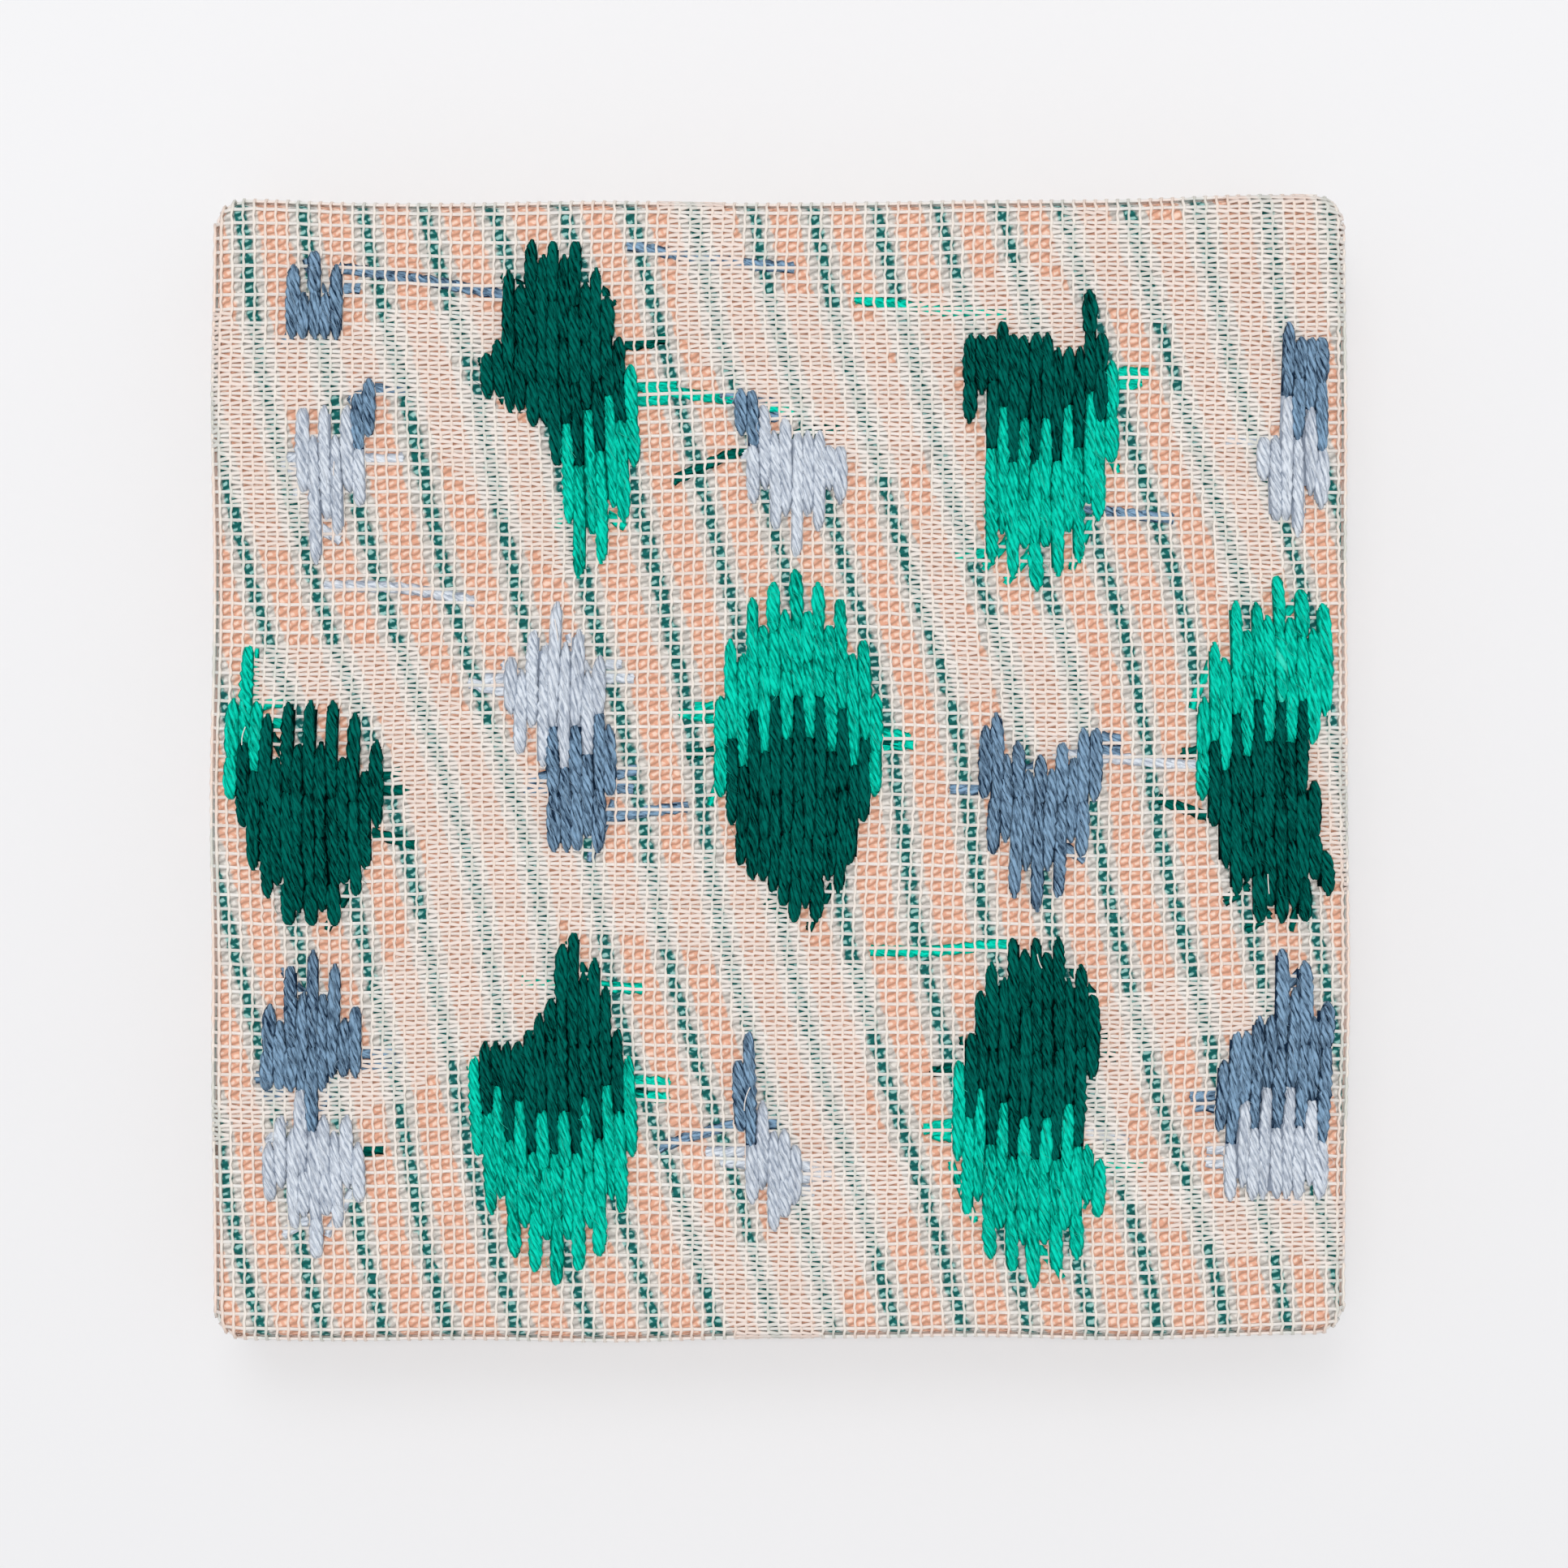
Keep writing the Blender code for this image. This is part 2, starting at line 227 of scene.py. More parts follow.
# Outward swell of the wrapped edges: side, place along it, height and spread in mm
SWELL_REACH = 54.0 * MM
EDGE_SWELLS = [
    ("top", -72, 0.6, 12),
    ("top", -24, 0.35, 14),
    ("top", 30, 0.4, 20),
    ("top", 66, 1.25, 18),
    ("bottom", -60, 1.0, 22),
    ("bottom", -22, 1.1, 18),
    ("bottom", 10, 0.5, 16),
    ("bottom", 45, 0.8, 16),
    ("right", 45, 0.35, 16),
    ("right", 10, 0.35, 20),
    ("right", -28, 0.7, 22),
    ("left", 48, 0.4, 14),
    ("left", -5, 0.5, 18),
    ("left", -40, 0.3, 15),
]

# Yarn carried behind the net: colour, x and y of both ends in mm
FLOATS = [
    ("slate", -58, 66, -34, 62),
    ("slate", -20, 70, 2, 66),
    ("pale", -60, 24, -40, 22),
    ("bright", -18, 50, 2, 47),
    ("dark", -14, 38, 8, 45),
    ("bright", 10, 62, 30, 60),
    ("slate", 34, 36, 52, 33),
    ("pale", 36, 2, 58, 0),
    ("slate", -28, -8, -12, -5),
    ("dark", -62, -6, -48, -10),
    ("bright", -34, -28, -18, -29),
    ("bright", 12, -24, 30, -23),
    ("pale", 28, -46, 46, -49),
    ("slate", -16, -50, -2, -46),
    ("dark", -66, -52, -52, -50),
    ("bright", 60, -40, 72, -42),
    ("dark", 50, -4, 64, -9),
    ("slate", 62, 14, 73, 12),
]


# Surface of the wrapped cloths

def over_edge(distance, half, front, back, face_round, back_round):
    """Section of the wrap: how far out, how high and how far turned a point is, from its distance."""
    flat = half - face_round
    first_arc = face_round * math.pi / 2
    drop_length = front - back - face_round - back_round
    second_arc = back_round * math.pi / 2
    beyond = distance - flat
    turn_one = np.clip(beyond, 0, first_arc) / face_round
    down = np.clip(beyond - first_arc, 0, drop_length)
    turn_two = np.clip(beyond - first_arc - drop_length, 0, second_arc) / back_round
    inward = np.maximum(beyond - first_arc - drop_length - second_arc, 0)
    out = np.minimum(distance, flat) + face_round * np.sin(turn_one)
    out = out - back_round * (1 - np.cos(turn_two)) - inward
    fall = face_round * (1 - np.cos(turn_one)) + down + back_round * np.sin(turn_two)
    return out, fall, turn_one + turn_two


def swell(x, y):
    """Outward shift of the wrapped edges at points of the plan."""
    shift_x = np.zeros_like(x)
    shift_y = np.zeros_like(y)
    for side, place, height, spread in EDGE_SWELLS:
        outward, along = {"top": (y, x), "bottom": (-y, x), "right": (x, y), "left": (-x, y)}[side]
        reach = np.clip(1.0 + (outward - SIDE / 2) / SWELL_REACH, 0, 1)
        amount = height * MM * np.exp(-((along / MM - place) / spread) ** 2) * reach ** 4
        if side in ("top", "bottom"):
            shift_y += amount if side == "top" else -amount
        else:
            shift_x += amount if side == "right" else -amount
    return shift_x, shift_y


def wrap(u, v, inset=0.5 * CLOTH):
    """Places and normals on the wrapped lace of points given by their distances along the cloth."""
    half = SIDE / 2 - inset
    inner = SIDE / 2 - PLAN_RADIUS
    past_x = np.maximum(np.abs(u) - inner, 0)
    past_y = np.maximum(np.abs(v) - inner, 0)
    past = np.hypot(past_x, past_y)
    share_x = past_x / np.maximum(past, 1e-9)
    share_y = past_y / np.maximum(past, 1e-9)
    sizes = (half, FACE - inset, inset, FACE_ROUND - inset, BACK_ROUND - inset)
    out, fall, turn = over_edge(inner + past, *sizes)
    x = np.minimum(np.abs(u), inner) + share_x * (out - inner)
    y = np.minimum(np.abs(v), inner) + share_y * (out - inner)
    fold = np.where(turn > 2, out, half)
    x = np.sign(u) * np.minimum(x, fold)
    y = np.sign(v) * np.minimum(y, fold)
    z = FACE - inset - fall
    slope = np.where(past > 0, np.sin(turn), 0)
    normal = np.stack([np.sign(u) * share_x * slope, np.sign(v) * share_y * slope, np.cos(turn)], axis=-1)
    shift_x, shift_y = swell(x, y)
    return np.stack([x + shift_x, y + shift_y, z], axis=-1), normal


def round_corner(across, along):
    """Turns the part of a thread past a rounded corner so that it runs straight down the side."""
    inner = SIDE / 2 - PLAN_RADIUS
    aside = np.clip((np.abs(across) - inner) / PLAN_RADIUS, 0, 1)
    ahead = np.sqrt(1 - aside ** 2)
    beyond = np.maximum(np.abs(along) - inner - ahead * PLAN_RADIUS, 0)
    reach = TURNED_ROWS * ROW_PITCH
    beyond *= reach / (reach + (1 - ahead) * PLAN_RADIUS)
    turned = np.sign(along) * (inner + ahead * (PLAN_RADIUS + beyond))
    return across + np.sign(across) * aside * beyond, np.where(beyond > 0, turned, along)


def waver(u, v):
    """Slow sideways drift of the lattice, so that no thread runs dead straight."""
    a = u / MM
    b = v / MM
    calm = np.clip((SIDE / 2 / MM + 4 - np.maximum(np.abs(a), np.abs(b))) / 14, 0, 1)
    du = 0.34 * np.sin(b / 17.0 + a / 41.0 + 0.7) + 0.22 * np.sin(b / 7.3 - a / 23.0 + 2.1)
    dv = 0.30 * np.sin(a / 19.0 - b / 37.0 + 1.9) + 0.20 * np.sin(a / 8.1 + b / 29.0 + 0.4)
    return u + du * MM * calm, v + dv * MM * calm


def net_point(column, row):
    """Place along the cloth of a lattice point; whole numbers are thread crossings."""
    return waver(column * COLUMN_PITCH - SIDE / 2, row * ROW_PITCH - SIDE / 2)


def wavy(x, y):
    """Shifts points of the face, in mm, so that the filled figure gets curved outlines."""
    shift_x = 2.6 * np.sin(y / 8.3 + 0.4) + 1.1 * np.sin(y / 3.7 + x / 19.0)
    shift_y = 2.4 * np.sin(x / 9.1 + 1.7) + 1.2 * np.sin(x / 4.3 - y / 23.0)
    return x + shift_x, y + shift_y


def is_filled(x, y):
    """True where points of the face, in mm, lie on the lace's filled figure."""
    x, y = wavy(x, y)
    filled = np.zeros(np.broadcast(x, y).shape, bool)
    for x0, y0, x1, y1, start, end in LACE_FIGURE:
        length = (x1 - x0) ** 2 + (y1 - y0) ** 2
        along = np.clip(((x - x0) * (x1 - x0) + (y - y0) * (y1 - y0)) / length, 0, 1)
        away = np.hypot(x - x0 - along * (x1 - x0), y - y0 - along * (y1 - y0))
        filled |= away < FIGURE_SPREAD * (start + along * (end - start))
    return filled


# Mesh making

class Tubes:
    """Collects round threads as rings of points and makes one mesh of them."""

    def __init__(self, sides):
        self.sides = sides
        self.points = []
        self.faces = []
        self.strand = []
        self.tone = []
        self.crest_painted_shade = []
        self.places = []
        self.count = 0
        self.total = 0

    def add(self, path, normal, radius, tone=0.5, flat=1.0, closed=False, place=(0.0, 0.0)):
        """Adds one thread along path; normal points away from the cloth, flat scales its height.

        Place is where the thread lies on the uncut cloth, for the painted reflection of the stripes under
        it.
        """
        path = np.asarray(path, float)
        number = len(path)
        radius = np.broadcast_to(np.asarray(radius, float), (number,))
        if closed:
            ahead = np.roll(path, -1, axis=0) - np.roll(path, 1, axis=0)
        else:
            ahead = np.gradient(path, axis=0)
        ahead /= np.maximum(np.linalg.norm(ahead, axis=1, keepdims=True), 1e-12)
        across = np.cross(ahead, normal)
        across /= np.maximum(np.linalg.norm(across, axis=1, keepdims=True), 1e-12)
        up = np.cross(across, ahead)
        angle = (np.arange(self.sides) + 0.5) * TURN / self.sides
        ring = (across[:, None, :] * np.cos(angle)[None, :, None]
                + up[:, None, :] * np.sin(angle)[None, :, None] * flat)
        points = path[:, None, :] + ring * radius[:, None, None]
        index = np.arange(number * self.sides).reshape(number, self.sides) + self.count
        last = number if closed else number - 1
        here = index[:last]
        there = np.roll(index, -1, axis=0)[:last]
        faces = np.stack([here, np.roll(here, -1, axis=1), np.roll(there, -1, axis=1), there], axis=-1)
        self.points.append(points.reshape(-1, 3))
        self.faces.append(faces.reshape(-1, 4))
        length = np.concatenate([[0], np.cumsum(np.linalg.norm(np.diff(path, axis=0), axis=1))])
        strand = np.zeros((number, self.sides, 3))
        strand[:, :, 0] = np.cos(angle) * PLY
        strand[:, :, 1] = length[:, None]
        strand[:, :, 2] = np.sin(angle) * PLY + 0.05 * self.total
        self.strand.append(strand.reshape(-1, 3))
        self.tone.append(np.full(number * self.sides, tone))
        # How far each ring point faces up, for the yarn's painted shade
        self.crest_painted_shade.append(np.tile(np.sin(angle), number))
        on_cloth = np.zeros((number, self.sides, 3))
        on_cloth[:, :, 0] = np.broadcast_to(place[0], number)[:, None]
        on_cloth[:, :, 1] = np.broadcast_to(place[1], number)[:, None]
        self.places.append(on_cloth.reshape(-1, 3))
        self.count += number * self.sides
        self.total += 1

    def build(self, name, material):
        """One object of all the threads, with their lengths, tones and places as attributes."""
        points = np.concatenate(self.points)
        faces = np.concatenate(self.faces)
        mesh = bpy.data.meshes.new(name)
        mesh.vertices.add(len(points))
        mesh.vertices.foreach_set("co", points.astype(np.float32).ravel())
        mesh.loops.add(faces.size)
        mesh.loops.foreach_set("vertex_index", faces.astype(np.int32).ravel())
        mesh.polygons.add(len(faces))
        mesh.polygons.foreach_set("loop_start", np.arange(0, faces.size, 4, dtype=np.int32))
        mesh.update(calc_edges=True)
        mesh.shade_smooth()
        for name_of, values in (("strand", self.strand), ("flat", self.places)):
            layer = mesh.attributes.new(name_of, "FLOAT_VECTOR", "POINT")
            layer.data.foreach_set("vector", np.concatenate(values).astype(np.float32).ravel())
        for name_of, values in (("tone", self.tone), ("crest_painted_shade", self.crest_painted_shade)):
            layer = mesh.attributes.new(name_of, "FLOAT", "POINT")
            layer.data.foreach_set("value", np.concatenate(values).astype(np.float32))
        mesh.materials.append(material)
        item = bpy.data.objects.new(name, mesh)
        bpy.context.scene.collection.objects.link(item)
        return item


# Materials

def linear(red, green, blue):
    """Linear colour from the eight-bit values of a display colour."""
    parts = []
    for value in (red, green, blue):
        share = value / 255
        parts.append(share / 12.92 if share <= 0.04045 else ((share + 0.055) / 1.055) ** 2.4)
    return (*parts, 1.0)


class Nodes:
    """Short ways to add and join a material's nodes."""

    def __init__(self, name, roughness, sheen=0.0):
        self.material = bpy.data.materials.new(name)
        self.material.use_nodes = True
        self.tree = self.material.node_tree
        self.shader = self.tree.nodes["Principled BSDF"]
        self.shader.inputs["Roughness"].default_value = roughness
        self.shader.inputs["Sheen Weight"].default_value = sheen
        self.shader.inputs["Sheen Roughness"].default_value = 0.5
        self.shader.inputs["Specular IOR Level"].default_value = 0.2

    def link(self, source, target):
        if isinstance(source, (int, float, tuple)):
            target.default_value = source
        else:
            self.tree.links.new(source, target)

    def attribute(self, name, output):
        node = self.tree.nodes.new("ShaderNodeAttribute")
        node.attribute_name = name
        return node.outputs[output]

    def noise(self, vector, scale, detail=2.0, roughness=0.5):
        node = self.tree.nodes.new("ShaderNodeTexNoise")
        node.inputs["Scale"].default_value = scale
        node.inputs["Detail"].default_value = detail
        node.inputs["Roughness"].default_value = roughness
        self.link(vector, node.inputs["Vector"])
        return node.outputs["Fac"]

    def stretch(self, vector, factors):
        node = self.tree.nodes.new("ShaderNodeVectorMath")
        node.operation = "MULTIPLY"
        self.link(vector, node.inputs[0])
        node.inputs[1].default_value = factors
        return node.outputs["Vector"]

    def math(self, operation, first, second=0.0):
        node = self.tree.nodes.new("ShaderNodeMath")
        node.operation = operation
        self.link(first, node.inputs[0])
        self.link(second, node.inputs[1])
        return node.outputs[0]

    def wave(self, value, period, shift):
        """Sine of a length, which repeats after period."""
        angle = self.math("ADD", self.math("MULTIPLY", value, TURN / period), shift)
        return self.math("SINE", angle)

    def range(self, value, low, high, to_low, to_high):
        node = self.tree.nodes.new("ShaderNodeMapRange")
        self.link(value, node.inputs["Value"])
        names = ("From Min", "From Max", "To Min", "To Max")
        for name, number in zip(names, (low, high, to_low, to_high)):
            self.link(number, node.inputs[name])
        return node.outputs["Result"]

    def mix(self, factor, first, second):
        node = self.tree.nodes.new("ShaderNodeMix")
        node.data_type = "RGBA"
        self.link(factor, node.inputs["Factor"])
        self.link(first, node.inputs["A"])
        self.link(second, node.inputs["B"])
        return node.outputs["Result"]

    def split(self, vector):
        node = self.tree.nodes.new("ShaderNodeSeparateXYZ")
        self.link(vector, node.inputs[0])
        return node.outputs

    def ramp(self, value, stops):
        node = self.tree.nodes.new("ShaderNodeValToRGB")
        elements = node.color_ramp.elements
        while len(elements) < len(stops):
            elements.new(1.0)
        for element, (place, colour) in zip(elements, stops):
            element.position = place
            element.color = colour
        self.link(value, node.inputs["Fac"])
        return node.outputs["Color"]

    def finish(self, colour, height=None, distance=0.0002, strength=0.6):
        self.link(colour, self.shader.inputs["Base Color"])
        if height is not None:
            bump = self.tree.nodes.new("ShaderNodeBump")
            bump.inputs["Distance"].default_value = distance
            bump.inputs["Strength"].default_value = strength
            self.link(height, bump.inputs["Height"])
            self.tree.links.new(bump.outputs["Normal"], self.shader.inputs["Normal"])
        return self.material


def stripe_place(nodes, place):
    """How far through the repeat a place on the uncut cloth is, and its places across and along."""
    x, y, _ = nodes.split(place)
    drift = nodes.noise(place, 14.0, detail=1.0)
    slow = nodes.math("MULTIPLY", nodes.math("SUBTRACT", drift, 0.5), STRIPE_DRIFT)
    ragged = nodes.noise(place, 700.0, detail=2.0)
    fine = nodes.math("MULTIPLY", nodes.math("SUBTRACT", ragged, 0.5), STRIPE_RAGGED)
    across = nodes.math("ADD", x, nodes.math("MULTIPLY", y, STRIPE_LEAN))
    across = nodes.math("ADD", nodes.math("ADD", across, slow), fine)
    return nodes.math("FRACT", nodes.math("DIVIDE", across, STRIPE_REPEAT)), across, y


def stripes(nodes, repeat, peach, cream, teal):
    """The stripes, each in its own colour."""
    return nodes.ramp(repeat, [
        (0.0, peach),
        (0.44, peach),
        (0.48, cream),
        (0.60, cream),
        (0.645, teal),
        (0.80, teal),
        (0.85, cream),
        (0.96, cream),
        (1.0, peach),
    ])


def lace_material(name, stripe_reflection_share, low, high):
    """Pale cotton between two tones, with a painted reflection of the stripes that lie under it mixed in.
    """
    nodes = Nodes(name, 0.85, sheen=0.05)
    strand = nodes.attribute("strand", "Vector")
    fibre = nodes.noise(nodes.stretch(strand, (9000, 2600, 9000)), 1.0, detail=3.0)
    tone = nodes.attribute("tone", "Fac")
    shade = nodes.math("ADD", nodes.math("MULTIPLY", fibre, 0.5), nodes.math("MULTIPLY", tone, 0.5))
    cotton = nodes.mix(shade, low, high)
    repeat, _, _ = stripe_place(nodes, nodes.attribute("flat", "Vector"))
    stripe = stripes(nodes, repeat, linear(242, 180, 148), linear(236, 226, 216), linear(70, 150, 144))
    # Painted reflection: a share of the stripe colour under each thread is mixed into the cotton
    colour = nodes.mix(stripe_reflection_share, cotton, stripe)
    return nodes.finish(colour, fibre, distance=0.00005, strength=0.5)


# Yarn: dark and light ends of the fibre streaks and painted shade (dark in the grooves, light on the crests
# of the plies), and the loose fibres' colour
YARN_COLOURS = {
    "dark": (linear(0, 18, 18), linear(4, 111, 99), linear(30, 140, 124)),
    "bright": (linear(0, 108, 90), linear(14, 226, 196), linear(100, 236, 212)),
    "slate": (linear(22, 42, 66), linear(142, 176, 205), linear(176, 196, 212)),
    "pale": (linear(154, 165, 181), linear(230, 237, 245), linear(240, 243, 246)),
}


def yarn_material(name):
    """Wool: streaks along the plies, painted shade in the grooves between them and on the underlay, paler
    loose fibres.
    """
    low, high, loose = YARN_COLOURS[name]
    nodes = Nodes(f"yarn_{name}_wool", 0.85, sheen=0.04)
    nodes.shader.inputs["Sheen Tint"].default_value = high
    nodes.shader.inputs["Specular Tint"].default_value = high
    nodes.shader.inputs["Specular IOR Level"].default_value = 0.1
    strand = nodes.attribute("strand", "Vector")
    streak = nodes.noise(nodes.stretch(strand, (2700, 520, 2700)), 1.0, detail=1.0)
    fibre = nodes.noise(nodes.stretch(strand, (5200, 1000, 5200)), 1.0, detail=2.0, roughness=0.6)
    tone = nodes.attribute("tone", "Fac")
    # Painted shade: each ply is darker on its sides and in the grooves and lighter on its top, by how far
    # it faces up
    crest_painted_shade = nodes.range(nodes.attribute("crest_painted_shade", "Fac"), 0.25, 0.9, -0.5, 0.2)
    shade = nodes.math("ADD", nodes.range(streak, 0.36, 0.64, 0.2, 0.8), crest_painted_shade)
    shade = nodes.math("ADD", shade, nodes.range(fibre, 0.35, 0.65, -0.3, 0.3))
    shade = nodes.math("ADD", shade, nodes.range(tone, 0.0, 1.0, -0.14, 0.14))
    # Painted shade: the underlay's tone darkens it
    shade = nodes.math("ADD", shade, nodes.range(tone, UNDERLAY_PAINTED_SHADE, -0.5, -0.4, 0.0))
    shade = nodes.math("MINIMUM", nodes.math("MAXIMUM", shade, 0.0), 1.0)
    colour = nodes.mix(nodes.range(tone, 1.8, 2.2, 0.0, 1.0), nodes.mix(shade, low, high), loose)
    return nodes.finish(colour, fibre, distance=0.00015, strength=0.6)


def ground_material():
    """Woven stripes in peach, cream and dark teal; the weave shows as strokes in lighter copies of the
    stripe colours (painted highlight) and darkened troughs (painted shadow).
    """
    nodes = Nodes("ground_stripe", 0.9, sheen=0.1)
    place = nodes.attribute("flat", "Vector")
    repeat, across, y = stripe_place(nodes, place)
    base = stripes(nodes, repeat, linear(238, 184, 157), linear(212, 208, 202), linear(24, 112, 108))
    light = stripes(nodes, repeat, linear(255, 230, 213), linear(246, 242, 236), linear(178, 228, 222))
    wobble = nodes.math("MULTIPLY", nodes.noise(place, 900.0, detail=1.0), 3.0)
    slant = nodes.math("SUBTRACT", nodes.math("MULTIPLY", y, RIDGE_ACROSS),
                       nodes.math("MULTIPLY", across, RIDGE_UP))
    along = nodes.math("ADD", nodes.math("MULTIPLY", across, RIDGE_ACROSS),
                       nodes.math("MULTIPLY", y, RIDGE_UP))
    ridge = nodes.wave(slant, RIDGE_PERIOD, wobble)
    breaks = nodes.wave(along, BREAK_PERIOD, wobble)
    # Painted highlight on the weave's ridges and painted shadow in the troughs between them
    stroke = nodes.math("MULTIPLY", nodes.range(ridge, -0.1, 0.6, 0.0, 1.0),
                        nodes.range(breaks, -0.7, 0.1, 0.0, 1.0))
    colour = nodes.mix(nodes.math("MULTIPLY", stroke, 0.8), base, light)
    shadow = nodes.range(ridge, -1.0, -0.4, 0.62, 1.0)
    dark = nodes.tree.nodes.new("ShaderNodeVectorMath")
    dark.operation = "SCALE"
    nodes.link(colour, dark.inputs[0])
    nodes.link(shadow, dark.inputs["Scale"])
    return nodes.finish(dark.outputs["Vector"], ridge, distance=0.00015, strength=0.6)


def wood_material():
    """Pale wood with grain, for the bars."""
    nodes = Nodes("pine", 0.6)
    place = nodes.tree.nodes.new("ShaderNodeTexCoord").outputs["Object"]
    grain = nodes.noise(nodes.stretch(place, (60, 60, 700)), 1.0, detail=4.0)
    rings = nodes.noise(nodes.stretch(place, (24, 24, 420)), 1.0, detail=1.0)
    shade = nodes.math("ADD", nodes.math("MULTIPLY", grain, 0.5), nodes.math("MULTIPLY", rings, 0.6))
    colour = nodes.ramp(shade, [(0.3, linear(206, 168, 118)), (0.55, linear(226, 192, 144)),
                                (0.75, linear(190, 148, 98))])
    return nodes.finish(colour, grain, distance=0.0002, strength=0.3)


def floor_material():
    """Plain pale grey, with painted light that makes it a little lighter towards the picture's top."""
    nodes = Nodes("pale_floor", 0.9)
    place = nodes.tree.nodes.new("ShaderNodeTexCoord").outputs["Object"]
    _, y, _ = nodes.split(place)
    cloud = nodes.noise(place, 3.0, detail=1.0)
    # Painted light: lighter towards the picture's top; the cloud noise is the floor's own unevenness
    shade = nodes.math("ADD", nodes.range(y, -0.12, 0.1, 0.0, 0.75), nodes.math("MULTIPLY", cloud, 0.25))
    colour = nodes.mix(shade, linear(238, 238, 239), linear(244, 244, 245))
    return nodes.finish(colour)


# Ground cloth

def ground_flat(corner, normal):
    """Place on the uncut cloth of a point on one face of the wrap."""
    x, y, z = corner
    fall = GROUND_FACE - z
    if normal.z > FACES_UP:
        return x, y, 0.0
    if normal.z < -FACES_UP:
        spare = SIDE + GROUND_FACE
        if abs(x) > abs(y):
            return math.copysign(spare - abs(x), x), y, 0.0
        return x, math.copysign(spare - abs(y), y), 0.0
    if abs(normal.x) > abs(normal.y):
        return x + math.copysign(fall, x), y, 0.0
    return x, y + math.copysign(fall, y), 0.0


def make_ground(material):
    """Thin striped sheet on the ground cloth's solid: face, sides and the edge turned onto the back."""
    inset = CLOTH + GAP - GROUND_RAISE
    side = SIDE - 2 * inset
    face = GROUND_FACE + GROUND_RAISE
    plan_radius = PLAN_RADIUS - inset
    face_round = FACE_ROUND - inset
    back_round = BACK_ROUND / 2
    back = GROUND_BACK
    shape = bmesh.new()
    bmesh.ops.create_cube(shape, size=1.0)
    bmesh.ops.scale(shape, vec=(side, side, face - back), verts=shape.verts)
    bmesh.ops.translate(shape, vec=(0, 0, (face + back) / 2), verts=shape.verts)
    upright = [edge for edge in shape.edges if abs(edge.verts[0].co.z - edge.verts[1].co.z) > GAP]
    bmesh.ops.bevel(shape, geom=upright, offset=plan_radius, segments=6, profile=0.5, affect="EDGES")
    straight = [edge for edge in shape.edges if edge.calc_length() > side / 2]
    bmesh.ops.subdivide_edges(shape, edges=straight, cuts=29, use_grid_fill=False)
    above = [vert for vert in shape.verts if abs(vert.co.z - face) < SAME_LEVEL]
    below = [vert for vert in shape.verts if abs(vert.co.z - back) < SAME_LEVEL]
    for top in above:
        foot = min(below, key=lambda vert: (vert.co.xy - top.co.xy).length)
        if not any(foot in edge.verts for edge in top.link_edges):
            bmesh.ops.connect_verts(shape, verts=[top, foot])
    for level, size, steps in ((face, face_round, 5), (back, back_round, 3)):
        rim = [edge for edge in shape.edges if all(abs(v.co.z - level) < SAME_LEVEL for v in edge.verts)]
        bmesh.ops.bevel(shape, geom=rim, offset=size, segments=steps, profile=0.5, affect="EDGES")
    lid = [side_face for side_face in shape.faces
           if all(abs(v.co.z - back) < SAME_LEVEL for v in side_face.verts)]
    bmesh.ops.delete(shape, geom=lid, context="FACES_ONLY")
    rim = [edge for edge in shape.edges if edge.is_boundary]
    grown = bmesh.ops.extrude_edge_only(shape, edges=rim)["geom"]
    inner = [part for part in grown if isinstance(part, bmesh.types.BMVert)]
    shrink = (side / 2 - GROUND_RETURN) / (side / 2 - back_round)
    bmesh.ops.scale(shape, vec=(shrink, shrink, 1), verts=inner)
    bmesh.ops.recalc_face_normals(shape, faces=shape.faces)
    mesh = bpy.data.meshes.new("striped_ground_cloth")
    shape.to_mesh(mesh)
    shape.free()
    flat = mesh.attributes.new("flat", "FLOAT_VECTOR", "CORNER")
    for polygon in mesh.polygons:
        for loop in polygon.loop_indices:
            corner = mesh.vertices[mesh.loops[loop].vertex_index].co
            flat.data[loop].vector = ground_flat(corner, polygon.normal)
    for vert in mesh.vertices:
        shift_x, shift_y = swell(np.array([vert.co.x]), np.array([vert.co.y]))
        vert.co.x += shift_x[0]
        vert.co.y += shift_y[0]
    mesh.materials.append(material)
    mesh.shade_smooth()
    cloth = bpy.data.objects.new("striped_ground_cloth", mesh)
    bpy.context.scene.collection.objects.link(cloth)
    solid = cloth.modifiers.new("thickness", "SOLIDIFY")
    solid.thickness = GROUND_SHEET
    solid.offset = -1.0
    solid.use_even_offset = True
    return cloth


# Net

def thread_path(u, v, lift):
    """Wrapped path of a thread with a lift away from the cloth at each point."""
    points, normal = wrap(u, v)
    return points + normal * lift[:, None], normal


def make_uprights(material, rng):
    """Warp threads of the net, which sway at every row and run on over the top and bottom edges."""
    tubes = Tubes(4)
    rows = np.arange(-2 * TURNED_ROWS, 2 * (MESH_ROWS + TURNED_ROWS) + 1) / 2
    crossing = rows % 1 == 0
    on_face = (rows > -3) & (rows < MESH_ROWS + 3)
    keep = on_face | crossing
    rows, crossing, on_face = rows[keep], crossing[keep], on_face[keep]
    for column in range(MESH_COLUMNS + 1):
        u, v = net_point(np.full(len(rows), float(column)), rows)
        sway = np.where(crossing, UPRIGHT_SWAY, -UPRIGHT_SWAY) * on_face
        u = u + sway + rng.normal(0, UPRIGHT_JITTER, len(rows))
        u, v = round_corner(u, v)
        path, normal = thread_path(u, v, np.where(crossing, CROSSING_LIFT, BETWEEN_LIFT))
        radius = THREAD * np.where(crossing, CROSSING_SHARE, BETWEEN_SHARE)
        radius = radius * rng.normal(1, RADIUS_JITTER, len(rows))
        tubes.add(path, normal, radius, tone=rng.uniform(0.2, 0.9), place=(u, v))
    return tubes.build("lace_uprights", material)


